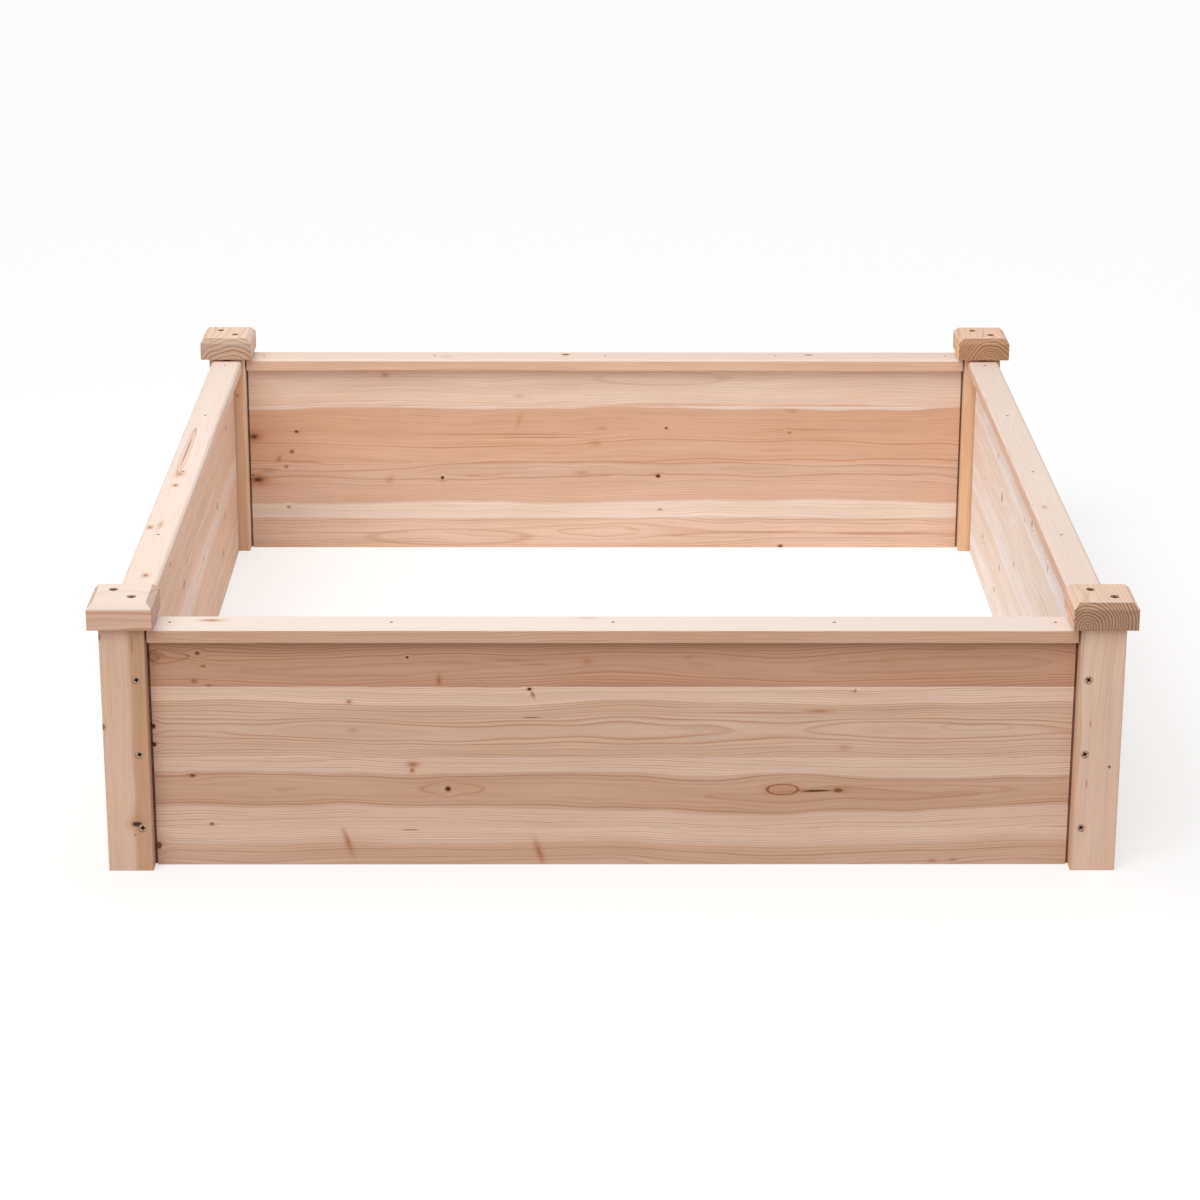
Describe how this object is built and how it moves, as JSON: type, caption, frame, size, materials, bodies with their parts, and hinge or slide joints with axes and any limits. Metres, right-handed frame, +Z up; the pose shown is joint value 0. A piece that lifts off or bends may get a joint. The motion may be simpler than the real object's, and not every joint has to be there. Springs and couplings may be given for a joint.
{
  "type": "raised garden bed",
  "caption": "Square bottomless raised garden bed in plain softwood: grooved corner posts, tongued board walls, flat top rails and bevelled screwed caps.",
  "frame": {"origin": "centre of the bed's outline, on the ground it stands on", "axes": "+X to the right along the front wall, +Y towards the back wall, +Z up"},
  "size_m": [1.219, 1.219, 0.342],
  "materials": {
    "post_wood": "planed, unfinished softwood, upright grain",
    "board_wood": "planed, unfinished edge-glued softwood, grain along the wall",
    "rail_wood": "planed, unfinished softwood with eased edges",
    "cap_wood": "planed, unfinished softwood block with bevelled edges",
    "screw_steel": "coated steel wood screw, dull bronze",
    "nail_steel": "bright steel finishing nail, dulled"
  },
  "bodies": {
    "root": {"post_front_left": "post_wood", "post_front_right": "post_wood", "post_back_right": "post_wood", "post_back_left": "post_wood", "front_board_1": "board_wood", "front_board_2": "board_wood", "front_board_3": "board_wood", "front_board_4": "board_wood", "right_board_1": "board_wood", "right_board_2": "board_wood", "right_board_3": "board_wood", "right_board_4": "board_wood", "back_board_1": "board_wood", "back_board_2": "board_wood", "back_board_3": "board_wood", "back_board_4": "board_wood", "left_board_1": "board_wood", "left_board_2": "board_wood", "left_board_3": "board_wood", "left_board_4": "board_wood", "rail_front": "rail_wood", "rail_right": "rail_wood", "rail_back": "rail_wood", "rail_left": "rail_wood", "cap_front_left": "cap_wood", "cap_front_right": "cap_wood", "cap_back_right": "cap_wood", "cap_back_left": "cap_wood", "post_screws_front_left": "screw_steel", "post_screws_front_right": "screw_steel", "post_screws_back_right": "screw_steel", "post_screws_back_left": "screw_steel", "cap_screws_front_left": "screw_steel", "cap_screws_front_right": "screw_steel", "cap_screws_back_right": "screw_steel", "cap_screws_back_left": "screw_steel", "rail_pins_front": "nail_steel", "rail_pins_right": "nail_steel", "rail_pins_back": "nail_steel", "rail_pins_left": "nail_steel"}
  },
  "joints": []
}
